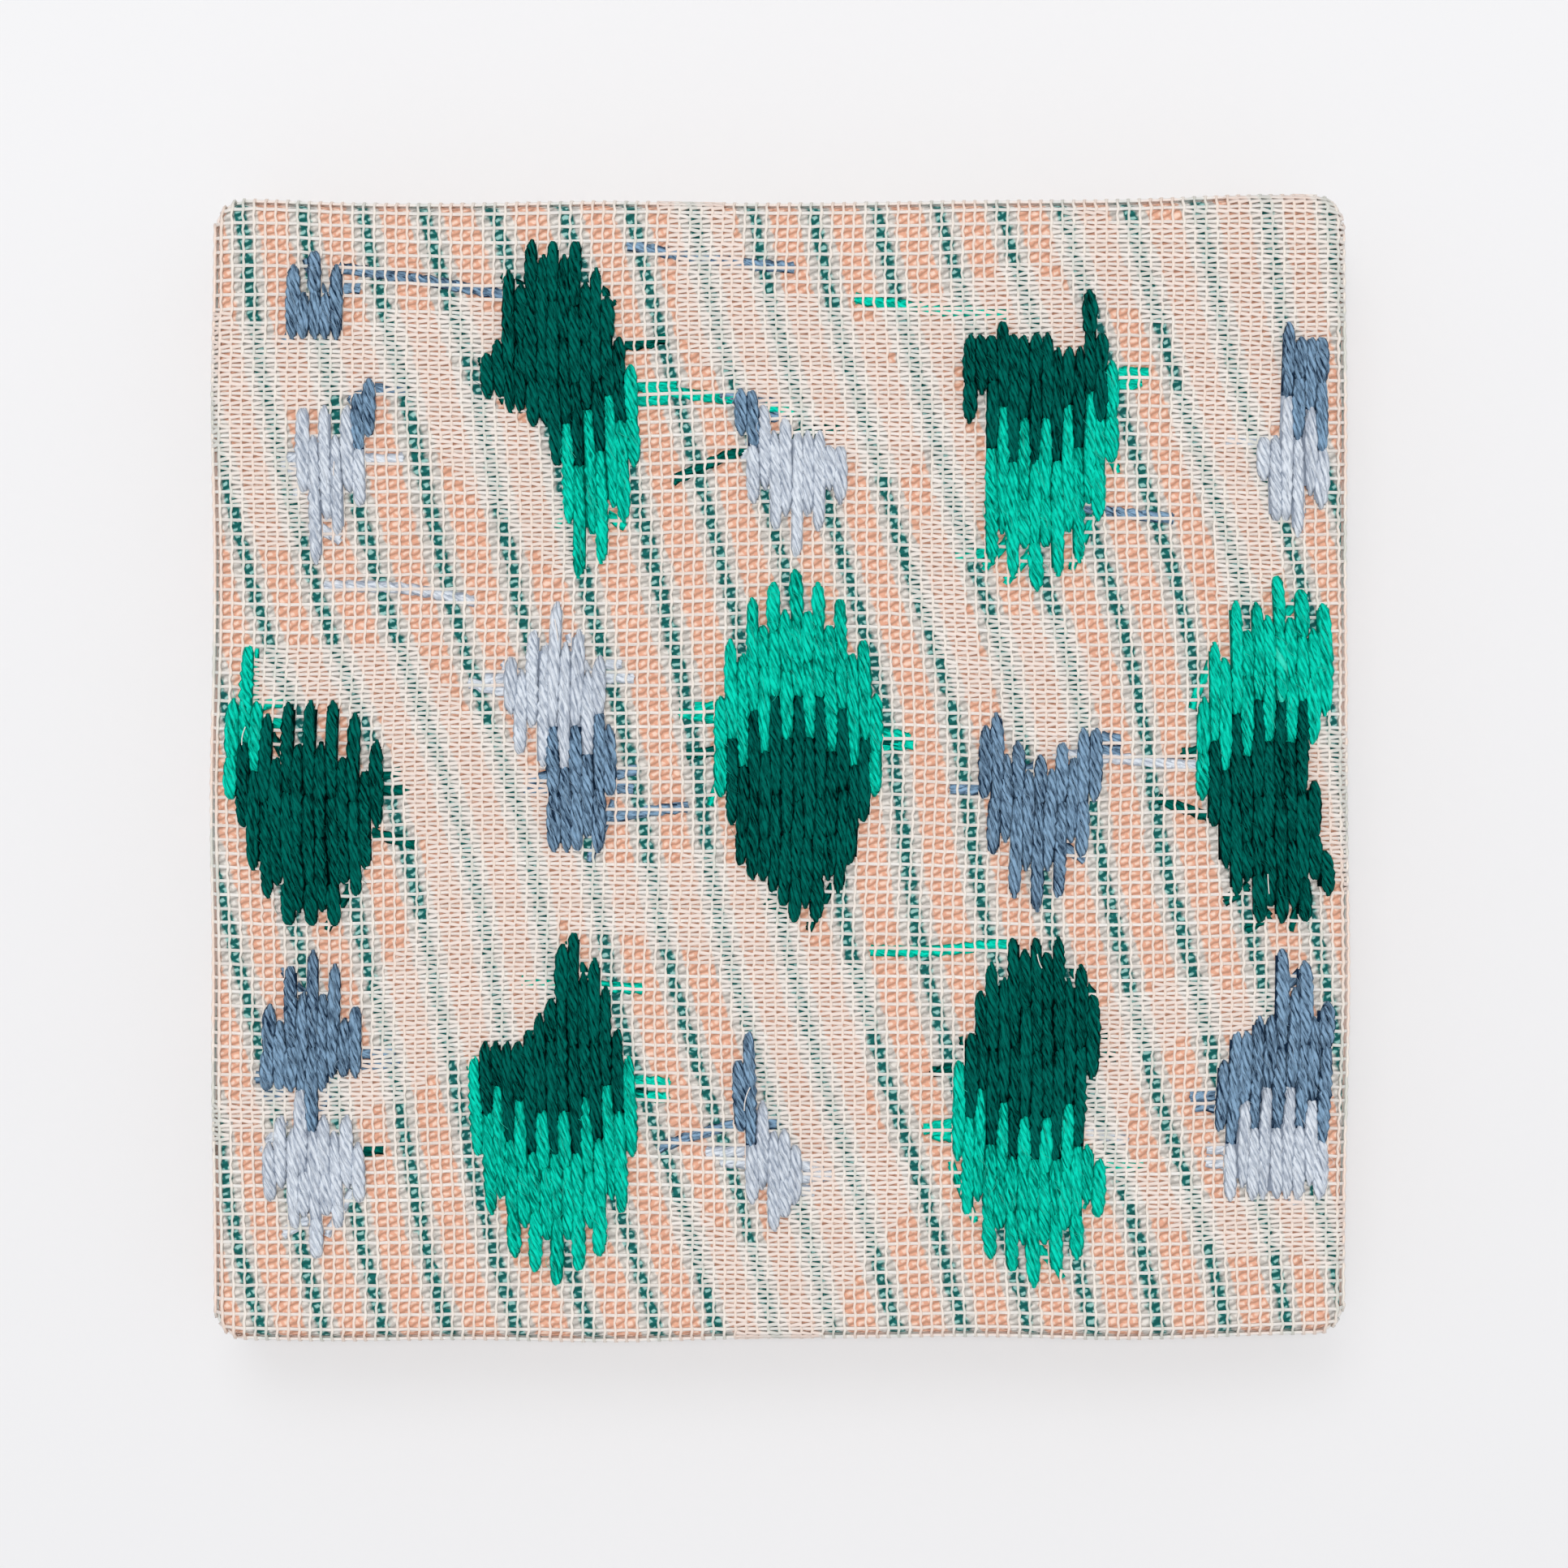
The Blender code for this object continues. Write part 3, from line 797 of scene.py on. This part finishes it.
def make_rows(material, rng):
    """Cross threads: a broad one with a second that twists along its top on the face."""
    tubes = Tubes(4)
    columns = np.arange(-TURNED_COLUMNS, MESH_COLUMNS + TURNED_COLUMNS + 1, dtype=float)
    on_face = (columns >= -2) & (columns <= MESH_COLUMNS + 2)
    for row in range(MESH_ROWS + 1):
        u, v = net_point(columns, np.full(len(columns), float(row)))
        tone = rng.uniform(0.0, 1.0)
        for layer in (LOWER_ROW, UPPER_ROW):
            upper = layer is UPPER_ROW
            keep = on_face if upper else np.ones(len(columns), bool)
            swing = layer["swing"] * np.where(columns % 2 == 0, 1.0, -1.0) * on_face
            shifted = v + swing + rng.normal(0, ROW_JITTER, len(columns))
            shifted, along = round_corner(shifted[keep], u[keep])
            path, normal = thread_path(along, shifted, np.full(keep.sum(), layer["lift"]))
            if upper:
                radius = TOP_THREAD * rng.normal(1, RADIUS_JITTER, keep.sum())
            else:
                radius = np.where(on_face, ROW_THREAD, 0.8 * ROW_THREAD)
            shade = tone + rng.normal(0, 0.1)
            tubes.add(path, normal, radius, tone=shade, flat=layer["flat"], place=(along, shifted))
    return tubes.build("lace_rows", material)


def filled_spans(cells):
    """First and last column of each unbroken stretch of filled cells in a row."""
    padded = np.concatenate([[False], cells, [False]])
    change = np.flatnonzero(padded[1:] != padded[:-1])
    return zip(change[::2], change[1::2])


def make_filling(material, rng):
    """Extra cross threads that fill the figure, two to a mesh, slanting against each other."""
    tubes = Tubes(4)
    inner = SIDE / 2 - PLAN_RADIUS
    middle = (np.arange(-SIDE_COLUMNS, MESH_COLUMNS + SIDE_COLUMNS) + 0.5) * COLUMN_PITCH - SIDE / 2
    for row in range(-SIDE_ROWS, MESH_ROWS + SIDE_ROWS):
        height = (row + 0.5) * ROW_PITCH - SIDE / 2
        corner = np.hypot(np.maximum(np.abs(middle) - inner, 0), max(abs(height) - inner, 0))
        corner = (corner > PLAN_RADIUS) & (np.abs(middle) > inner) & (abs(height) > inner)
        cells = is_filled(middle / MM, height / MM) & ~corner
        for start, end in filled_spans(cells):
            cell = np.repeat(np.arange(start, end), 2) - SIDE_COLUMNS
            right = np.tile([False, True], end - start)
            columns = cell + np.where(right, 1 - FILL_INSET, FILL_INSET)
            for level in (1, 2):
                slant = FILL_SLANT * np.where(right, 1, -1) * (1 if level == 1 else -1)
                u, v = net_point(columns, np.full(len(columns), row + level / 3))
                v = v + slant + rng.normal(0, ROW_JITTER, len(columns))
                path, normal = thread_path(u, v, np.full(len(columns), FILL_LIFT))
                radius = FILL_THREAD * rng.normal(1, 0.08, len(columns))
                tubes.add(path, normal, radius, tone=rng.uniform(0.1, 1.0), flat=0.6, place=(u, v))
    return tubes.build("lace_filling", material)


def ring_path(distance, spacing):
    """Closed loop round the panel at one distance down the wrap."""
    inner = SIDE / 2 - PLAN_RADIUS
    straight = np.arange(-inner, inner + spacing / 2, spacing)
    angle = np.radians([22.5, 45.0, 67.5])
    u = np.concatenate([np.full(len(straight), distance), inner + (distance - inner) * np.cos(angle)])
    v = np.concatenate([straight, inner + (distance - inner) * np.sin(angle)])
    return np.concatenate([u, -v, -u, v]), np.concatenate([v, u, -v, -u])


def make_edges(material, rng):
    """Threads that run round the sides and on the turned edge, parallel to the panel's rim."""
    tubes = Tubes(4)
    for number in range(1, TURNED_ROWS):
        u, v = ring_path(SIDE / 2 + number * ROW_PITCH, 1.5 * COLUMN_PITCH)
        jitter = rng.normal(0, 0.05 * MM, len(u))
        path, normal = thread_path(u + jitter, v + jitter, np.full(len(u), 0.02 * MM))
        tubes.add(path, normal, 1.15 * THREAD, tone=rng.uniform(0.2, 0.9), closed=True, place=(u, v))
    return tubes.build("lace_edges", material)


# Embroidery

def lozenge_cells(chart, column, base, way):
    """Every cell of one lozenge with its colour; way is 1 upright and -1 upside down."""
    for colour, columns in chart.items():
        for offset, low, high in columns:
            for across in sorted({column - offset, column + offset}):
                for step in range(low, high):
                    yield colour, across, base + (step if way > 0 else -1 - step)


def can_stitch(column, row):
    """Stitches stay on the flat of the face and off the lace's filled figure."""
    if not EDGE_COLUMNS <= column < MESH_COLUMNS - EDGE_COLUMNS:
        return False
    if not EDGE_ROWS <= row < MESH_ROWS - EDGE_ROWS:
        return False
    x = (column + 0.5) * COLUMN_PITCH - SIDE / 2
    y = (row + 0.5) * ROW_PITCH - SIDE / 2
    return not is_filled(x / MM, y / MM).item()


def stitched_cells():
    """Colour of each stitched cell, by stitch column and mesh row."""
    cells = {}
    for number in range(LOZENGE_COLUMNS):
        column = FIRST_COLUMN + number * COLUMN_STEP
        way = 1 if number % 2 == 0 else -1
        first = FIRST_ROW + (number % 2) * HALF_DROP
        for leaf in range(first - PAIR_STEP, MESH_ROWS + PAIR_STEP, PAIR_STEP):
            for chart, base in ((LEAF_LOZENGE, leaf), (BUD_LOZENGE, leaf + HALF_DROP)):
                for colour, across, row in lozenge_cells(chart, column, base, way):
                    if can_stitch(across, row):
                        cells[across, row] = colour
    return cells


def column_runs(cells):
    """Unbroken runs of one colour up each stitch column, as colour, column, low and high row."""
    runs = []
    for column in range(MESH_COLUMNS):
        start = 0
        for row in range(MESH_ROWS + 1):
            if row == MESH_ROWS or cells.get((column, row)) != cells.get((column, start)):
                colour = cells.get((column, start))
                if colour and row - start >= SHORTEST_RUN:
                    runs.append((colour, column, start, row))
                start = row
    return runs


def patches(runs):
    """Chains of runs that lie side by side and share a colour."""
    chains = []
    for run in runs:
        colour, column, low, high = run
        best = None
        for chain in chains:
            other, last, last_low, last_high = chain[-1]
            shared = min(high, last_high) - max(low, last_low)
            if other == colour and last == column - 1 and shared >= LEAST_OVERLAP:
                best = chain
        if best:
            best.append(run)
        else:
            chains.append([run])
    return [chain for chain in chains if len(chain) >= LEAST_COLUMNS]


def stitch_ends(column, low, high, rng):
    """Rows where one run's stitches start and end, half a stitch higher in every other column.

    Each joint is shifted a little at random.
    """
    first = STITCH_ROWS // 2 * (column % 2)
    inner = range(low + SHORTEST_STITCH, high - SHORTEST_STITCH + 1)
    joints = [row + rng.normal(0, JOINT_SHIFT) for row in inner if (row - first) % STITCH_ROWS == 0]
    return [low, *joints, high]


def add_stitch(tubes, covered, column, low, high, rng):
    """One upright stitch: plies twisted together, wider where no other stitch presses on it."""
    even = np.linspace(0, 1, STITCH_POINTS)
    share = 0.45 * even + 0.55 * (1 - np.cos(math.pi * even)) / 2
    rise = np.sin(math.pi * share)
    lean = rng.normal(0, 0.07, 2)
    across = column + 0.5 + np.interp(share, [0, 1], lean)
    first = low - (MEETING_REACH if (column, math.floor(low - 0.5)) in covered else FREE_REACH)
    last = high + (MEETING_REACH if (column, math.floor(high + 0.5)) in covered else FREE_REACH)
    along = first + (last - first) * share
    u, v = net_point(across, along)
    base, _ = wrap(u, v)
    rows = np.floor(np.clip(along, low, high - 0.5)).astype(int)
    halves = []
    for side in (-1, 1):
        half = [PACKED_HALF if (column + side, row) in covered else FREE_HALF for row in rows]
        halves.append(np.convolve(np.pad(half, 2, mode="edge"), np.full(5, 0.2), mode="valid"))
    middle = (halves[1] - halves[0]) / 2
    width = ((halves[0] + halves[1]) / 2 - PLY) * rng.normal(1.0, 0.07)
    width *= END_WIDTH + (1 - END_WIDTH) * rise ** 0.6
    depth = PLY_DEPTH * (0.6 + 0.4 * rise ** 0.3)
    crown = YARN_HEIGHT - END_DIP * (1 - rise ** 0.28) + rng.normal(0, 0.13) * MM
    turns = (high - low) * ROW_PITCH / TWIST_LENGTH * rng.normal(1.0, 0.15)
    phase = rng.uniform(0, TURN)
    tone = rng.uniform(0.0, 1.0)
    up = np.tile([0.0, 0.0, 1.0], (STITCH_POINTS, 1))
    for ply in range(PLIES):
        angle = phase + TURN * (ply / PLIES + turns * share)
        path = base.copy()
        path[:, 0] += middle * rise ** 0.5 + width * np.cos(angle)
        path[:, 0] += rng.normal(0, 0.02, STITCH_POINTS) * MM
        outer = np.cos(angle) ** 2 * np.abs(2 * share - 1) ** 6
        path[:, 1] -= ROUND_END * np.sign(share - 0.5) * outer
        path[:, 2] = crown + depth * np.sin(angle)
        radius = PLY * (END_PLY + (1 - END_PLY) * rise ** 0.4) * rng.normal(1.0, 0.05, STITCH_POINTS)
        tubes.add(path, up, radius, tone=tone + rng.normal(0, 0.25))
    for _ in range(HAIRS):
        add_hair(tubes, base, middle, crown, rng)


def add_hair(tubes, base, middle, crown, rng):
    """A loose fibre that lies over a stitch and stands off it a little."""
    first = rng.uniform(2, STITCH_POINTS - 5)
    last = first + rng.uniform(1.0, 2.4)
    points = 5
    place = np.linspace(first, last, points)
    number = np.arange(STITCH_POINTS)
    share = np.linspace(0, 1, points)
    path = np.stack([np.interp(place, number, base[:, 0] + middle), np.interp(place, number, base[:, 1]),
                     np.interp(place, number, crown) + PLY_DEPTH + PLY + 0.03 * MM], axis=-1)
    path[:, 0] += (rng.normal(0, 0.4) + rng.normal(-0.35, 0.25) * (share - 0.5) * 2) * MM
    path[:, 0] += rng.normal(0, 0.3) * MM * np.sin(math.pi * share)
    path[:, 2] += rng.uniform(0.0, 0.3) * MM * np.sin(math.pi * share)
    tubes.add(path, np.tile([0.0, 0.0, 1.0], (points, 1)), HAIR, tone=rng.uniform(*HAIR_TONES))


def add_float(tubes, x0, y0, x1, y1, rng):
    """Yarn that lies behind the net, pressed flat against the ground cloth; ends in mm."""
    x0, x1, y0, y1 = (max(-FLOAT_LIMIT, min(FLOAT_LIMIT, value)) for value in (x0, x1, y0, y1))
    length = math.hypot(x1 - x0, y1 - y0)
    count = max(4, round(length / 1.6))
    share = np.linspace(0, 1, count)
    bow = rng.normal(0, 0.03) * length
    x = x0 + (x1 - x0) * share
    y = y0 + (y1 - y0) * share + bow * np.sin(math.pi * share)
    phase = rng.uniform(0, TURN)
    turns = length * MM / TWIST_LENGTH
    tone = rng.uniform(0.2, 0.8)
    up = np.tile([0.0, 0.0, 1.0], (count, 1))
    middle = GROUND_FACE + GROUND_RAISE + 0.15 * MM
    for ply in range(FLOAT_PLIES):
        angle = phase + TURN * (ply / FLOAT_PLIES + turns * share)
        path = np.stack([x * MM, (y + FLOAT_SPREAD * np.cos(angle)) * MM,
                         middle + 0.05 * MM * np.sin(angle)], axis=-1)
        tubes.add(path, up, FLOAT_PLY, tone=tone, flat=0.4)


def add_underlay(tubes, covered, column, low, high):
    """Flat pass of the yarn over the net and under the stitches of one run, painted dark as the shade under
    them.
    """
    first = low + (0.0 if (column, low - 1) in covered else 0.5)
    last = high - (0.0 if (column, high) in covered else 0.5)
    along = np.linspace(first, last, max(3, high - low))
    u, v = net_point(np.full(len(along), column + 0.5), along)
    path = np.stack([u, v, np.full(len(along), FACE + UNDERLAY_LIFT)], axis=-1)
    up = np.tile([0.0, 0.0, 1.0], (len(along), 1))
    tubes.add(path, up, UNDERLAY_HALF, tone=UNDERLAY_PAINTED_SHADE, flat=0.25)


def add_back_passes(tubes, chain, rng):
    """Yarn behind the net that shows in the meshes beside a patch and between its stitches."""
    for end, side in ((chain[0], -1), (chain[-1], 1)):
        if rng.uniform() < 0.3:
            continue
        _, column, low, high = end
        first = rng.integers(low, high)
        for row in range(first, min(first + rng.integers(1, 4), high)):
            length = rng.uniform(0.9, 3.6) * COLUMN_PITCH / MM
            x = ((column + 0.5) * COLUMN_PITCH - SIDE / 2) / MM
            y = ((row + 0.5) * ROW_PITCH - SIDE / 2) / MM
            add_float(tubes, x, y, x + side * (length + 1.0), y + rng.normal(0, 0.5), rng)
    for before, after in zip(chain[::2], chain[1::2]):
        row = rng.choice([before[2], before[3]])
        other = rng.choice([after[2], after[3]])
        x = ((before[1] - 0.3) * COLUMN_PITCH - SIDE / 2) / MM
        y = ((row - 0.5) * ROW_PITCH - SIDE / 2) / MM
        rise = (other - row) * ROW_PITCH / MM
        if abs(rise) < 9:
            add_float(tubes, x, y, x + 2.2 * COLUMN_PITCH / MM, y + rise, rng)


def make_yarns(chains, rng):
    """All stitches and floats of each colour."""
    covered = {(run[1], row) for chain in chains for run in chain for row in range(run[2], run[3])}
    yarns = {}
    for colour in YARN_COLOURS:
        tubes = Tubes(6)
        for chain in chains:
            if chain[0][0] != colour:
                continue
            for _, column, low, high in chain:
                add_underlay(tubes, covered, column, low, high)
                ends = stitch_ends(column, low, high, rng)
                for start, end in zip(ends, ends[1:]):
                    add_stitch(tubes, covered, column, start, end, rng)
            add_back_passes(tubes, chain, rng)
        for own, x0, y0, x1, y1 in FLOATS:
            if own == colour:
                add_float(tubes, x0, y0, x1, y1, rng)
        yarns[colour] = tubes.build(f"{colour}_yarn", yarn_material(colour))
    return yarns


def make_loose_threads(material, chains, rng):
    """A few pale thread ends that lie loose on the embroidery."""
    tubes = Tubes(5)
    for chain in chains[::5]:
        _, column, low, high = chain[len(chain) // 2]
        x = (column + 0.5) * COLUMN_PITCH - SIDE / 2
        y = rng.uniform(low + 1, high - 1) * ROW_PITCH - SIDE / 2
        share = np.linspace(0, 1, 9)
        turn = rng.uniform(-1.9, -1.0) + rng.uniform(-1.2, 1.2) * (share - 0.5)
        step = rng.uniform(0.22, 0.42) * MM
        path = np.stack([x + np.cumsum(step * np.cos(turn)), y + np.cumsum(step * np.sin(turn)),
                         YARN_HEIGHT + (0.85 + 0.25 * np.sin(math.pi * share)) * MM], axis=-1)
        tubes.add(path, np.tile([0.0, 0.0, 1.0], (9, 1)), 0.075 * MM, tone=0.9)
    return tubes.build("loose_threads", material)


# Surroundings

def make_floor():
    """The surface that the panel lies on, which isn't part of it."""
    bpy.ops.mesh.primitive_plane_add(size=4.0, location=(0, 0, 0))
    floor = bpy.context.object
    floor.name = "floor"
    floor.data.materials.append(floor_material())


def add_light(name, location, size, energy):
    """A round soft light that points at the panel."""
    light = bpy.data.lights.new(name, "AREA")
    light.shape = "DISK"
    light.size = size
    light.energy = energy
    item = bpy.data.objects.new(name, light)
    item.location = location
    item.rotation_euler = (Vector((0, 0, 0)) - Vector(location)).to_track_quat("-Z", "Y").to_euler()
    bpy.context.scene.collection.objects.link(item)


def make_lights():
    """A light over the panel, one behind its top edge, and an even surround."""
    add_light("front_light", (-0.03, 0.04, 1.6), 0.3, 11.6)
    add_light("top_light", (-0.22, 0.85, 1.7), 0.9, 3.5)
    world = bpy.data.worlds.new("studio")
    world.use_nodes = True
    background = world.node_tree.nodes["Background"]
    background.inputs["Color"].default_value = linear(250, 250, 252)
    background.inputs["Strength"].default_value = 0.51
    bpy.context.scene.world = world


def make_camera():
    """Looks straight down; the frame is FRAME_WIDTH wide at the panel's face."""
    camera = bpy.data.cameras.new("camera")
    camera.lens = LENS
    camera.sensor_width = SENSOR
    camera.clip_start = 0.01
    item = bpy.data.objects.new("camera", camera)
    item.location = (*AIM, FACE + FRAME_WIDTH * LENS / SENSOR)
    bpy.context.scene.collection.objects.link(item)
    bpy.context.scene.camera = item


# Whole scene

def dress_frame(ground, uprights, net, yarns):
    """Gives the bars their wood, ties every piece to the frame and hides the nodes that it replaces."""
    wood = wood_material()
    patch_nodes = {colour: [] for colour in yarns}
    for name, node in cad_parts.items():
        if name.startswith("bar_"):
            for slot in node.material_slots:
                slot.material = wood
        elif "_patch_" in name:
            patch_nodes[name.split("_")[0]].append(name)
    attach(ground, "root")
    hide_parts("ground_cloth")
    for piece in [uprights, *net]:
        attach(piece, "root")
    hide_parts("lace_panel")
    for colour, yarn in yarns.items():
        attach(yarn, "root")
        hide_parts(*patch_nodes[colour])


def main():
    """The scene first, and then the pieces from the ground cloth up."""
    rng = np.random.default_rng(SEED)
    scene = bpy.context.scene
    scene.view_settings.view_transform = "Standard"
    scene.view_settings.look = "None"
    make_camera()
    make_lights()
    make_floor()
    # The second number is each cotton's share of painted reflection from the stripes
    warp = lace_material("lace_warp_cotton", 0.22, linear(242, 231, 220), linear(255, 248, 239))
    cotton = lace_material("lace_cotton", 0.12, linear(228, 220, 213), linear(255, 255, 252))
    filling = lace_material("lace_filling_cotton", 0.2, linear(236, 225, 216), linear(253, 247, 241))
    ground = make_ground(ground_material())
    uprights = make_uprights(warp, rng)
    chains = patches(column_runs(stitched_cells()))
    net = [make_rows(cotton, rng), make_filling(filling, rng), make_edges(cotton, rng)]
    net.append(make_loose_threads(cotton, chains, rng))
    yarns = make_yarns(chains, rng)
    dress_frame(ground, uprights, net, yarns)


main()
